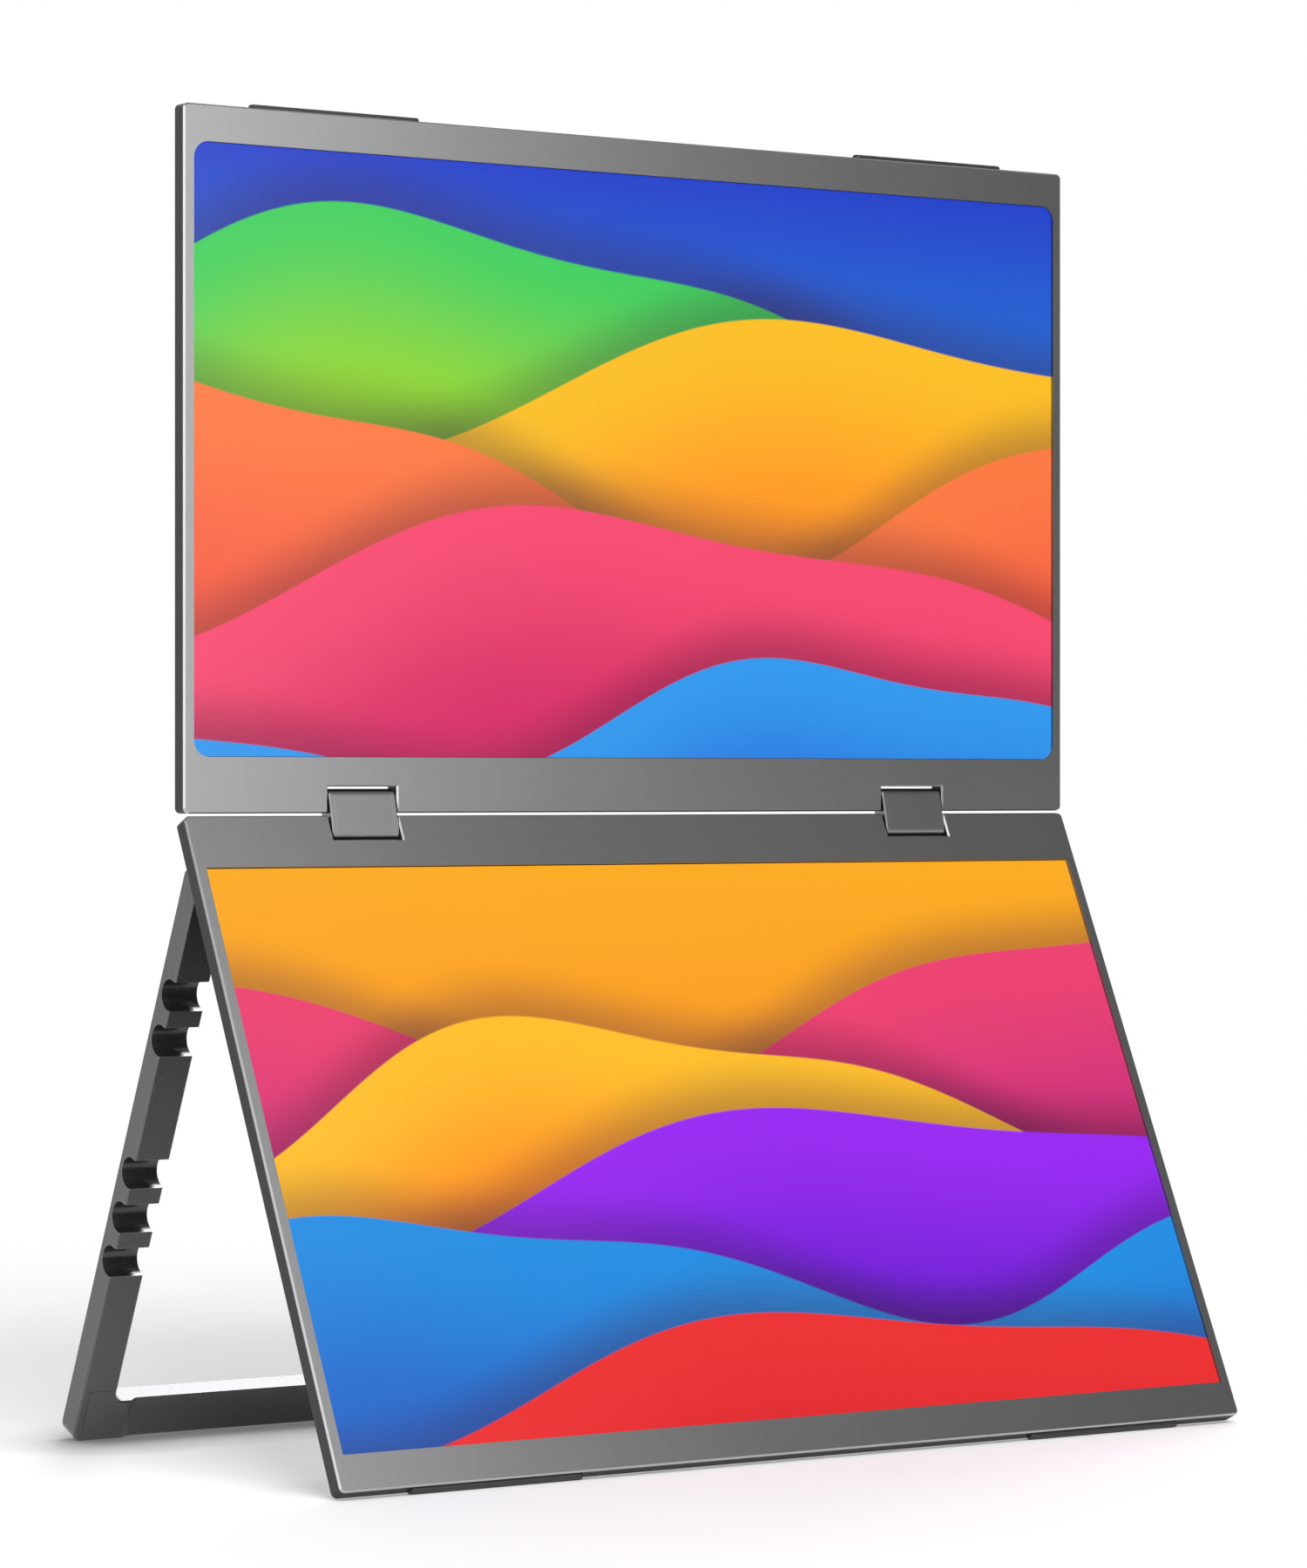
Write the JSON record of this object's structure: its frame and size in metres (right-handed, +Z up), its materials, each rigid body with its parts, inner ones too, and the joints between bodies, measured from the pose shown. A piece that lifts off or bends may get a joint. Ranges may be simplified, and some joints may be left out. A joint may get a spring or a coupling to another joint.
{
  "type": "dual portable monitor",
  "caption": "Folding portable monitor with one wide screen above another on geared friction hinges, and a notched frame stand behind the lower screen",
  "frame": {"origin": "centre of the base of the bounding box, on the desk, with the monitor open as in the picture", "axes": "+X is the viewer's right, +Y points away from the viewer, +Z is up"},
  "size_m": [0.3516, 0.1836, 0.4299],
  "materials": {
    "bezel_metal": "satin grey coating with a bright cut edge",
    "cover_metal": "satin dark grey coating",
    "upper_screen": "lit display behind glossy glass",
    "lower_screen": "lit display behind glossy glass",
    "light_guide": "clear acrylic",
    "tray_metal": "bare sheet",
    "circuit_board": "solder mask",
    "hinge_steel": "fine ground",
    "screw_steel": "blackened",
    "lead_cover": "matt black",
    "rubber": "matt black",
    "flex_film": "amber film",
    "housing_plastic": "fine texture",
    "chip_plastic": "moulded black",
    "socket_metal": "plated shell",
    "speaker_plastic": "moulded black",
    "bush_brass": "plain",
    "link_metal": "satin grey coating",
    "stand_metal": "satin dark grey coating",
    "key_plastic": "moulded black"
  },
  "bodies": {
    "lower_panel": {"lower_bezel": "bezel_metal", "lower_back_cover": "cover_metal", "lower_screen": "lower_screen", "lower_light_guide": "light_guide", "lower_backlight_tray": "tray_metal", "lower_panel_board": "circuit_board", "lower_hinge_brackets": "hinge_steel", "lower_hinge_shafts": "hinge_steel", "lower_hinge_stubs": "hinge_steel", "lower_bracket_screws": "screw_steel", "lower_shaft_clips": "hinge_steel", "lower_lead": "lead_cover", "lower_rubber_feet": "rubber", "flex_tail": "flex_film", "rear_housing": "housing_plastic", "housing_screws": "screw_steel", "main_board": "circuit_board", "board_chips": "chip_plastic", "usb_c_sockets": "socket_metal", "mini_hdmi_sockets": "socket_metal", "audio_socket": "chip_plastic", "left_speaker": "speaker_plastic", "right_speaker": "speaker_plastic", "key_switches": "chip_plastic", "stand_brackets": "hinge_steel", "stand_bracket_screws": "screw_steel", "stand_pins": "hinge_steel", "stand_pin_nuts": "screw_steel", "friction_washers": "bush_brass"},
    "hinge_links": {"left_hinge_link": "link_metal", "right_hinge_link": "link_metal", "hinge_outer_caps": "link_metal", "hinge_inner_caps": "link_metal", "friction_bushes": "bush_brass", "idler_pins": "hinge_steel", "link_lead": "lead_cover"},
    "upper_panel": {"upper_bezel": "bezel_metal", "upper_back_cover": "cover_metal", "upper_screen": "upper_screen", "upper_light_guide": "light_guide", "upper_backlight_tray": "tray_metal", "upper_panel_board": "circuit_board", "upper_hinge_brackets": "hinge_steel", "upper_hinge_shafts": "hinge_steel", "upper_hinge_stubs": "hinge_steel", "upper_bracket_screws": "screw_steel", "upper_shaft_clips": "hinge_steel", "upper_lead": "lead_cover", "upper_rubber_strips": "rubber"},
    "lower_idlers": {"lower_idler_gears": "hinge_steel"},
    "upper_idlers": {"upper_idler_gears": "hinge_steel"},
    "stand": {"stand_frame": "stand_metal", "stand_pads": "rubber"},
    "power_key": {"power_key": "key_plastic"},
    "menu_key": {"menu_key": "key_plastic"},
    "plus_key": {"plus_key": "key_plastic"},
    "minus_key": {"minus_key": "key_plastic"}
  },
  "joints": [
    {"name": "lower_fold", "type": "hinge", "parent": "lower_panel", "child": "hinge_links", "pos_m": [0, 0.00422, 0.19903], "axis": [1, 0, 0], "range_deg": [-12.65, 77.35]},
    {"name": "upper_fold", "type": "hinge", "parent": "hinge_links", "child": "upper_panel", "pos_m": [0, 0.00667, 0.20996], "axis": [1, 0, 0], "range_deg": [-12.65, 77.35]},
    {"name": "lower_idler_turn", "type": "hinge", "parent": "hinge_links", "child": "lower_idlers", "pos_m": [0, 0.00504, 0.20267], "axis": [1, 0, 0], "range_deg": [-12.65, 77.35]},
    {"name": "upper_idler_turn", "type": "hinge", "parent": "hinge_links", "child": "upper_idlers", "pos_m": [0, 0.00586, 0.20631], "axis": [1, 0, 0], "range_deg": [-77.35, 12.65]},
    {"name": "stand_fold", "type": "hinge", "parent": "lower_panel", "child": "stand", "pos_m": [0, 0.00586, 0.18332], "axis": [1, 0, 0], "range_deg": [-49.6, 40.4]},
    {"name": "press_power_key", "type": "slide", "parent": "lower_panel", "child": "power_key", "axis": [-1, 0, 0], "range_m": [0, 0.0005], "stiffness_N_per_m": 800},
    {"name": "press_menu_key", "type": "slide", "parent": "lower_panel", "child": "menu_key", "axis": [-1, 0, 0], "range_m": [0, 0.0005], "stiffness_N_per_m": 800},
    {"name": "press_plus_key", "type": "slide", "parent": "lower_panel", "child": "plus_key", "axis": [-1, 0, 0], "range_m": [0, 0.0005], "stiffness_N_per_m": 800},
    {"name": "press_minus_key", "type": "slide", "parent": "lower_panel", "child": "minus_key", "axis": [-1, 0, 0], "range_m": [0, 0.0005], "stiffness_N_per_m": 800}
  ],
  "couplings": [
    {"joint": "upper_fold", "follows": "lower_fold", "ratio": 1},
    {"joint": "lower_idler_turn", "follows": "lower_fold", "ratio": 1},
    {"joint": "upper_idler_turn", "follows": "lower_fold", "ratio": -1}
  ]
}
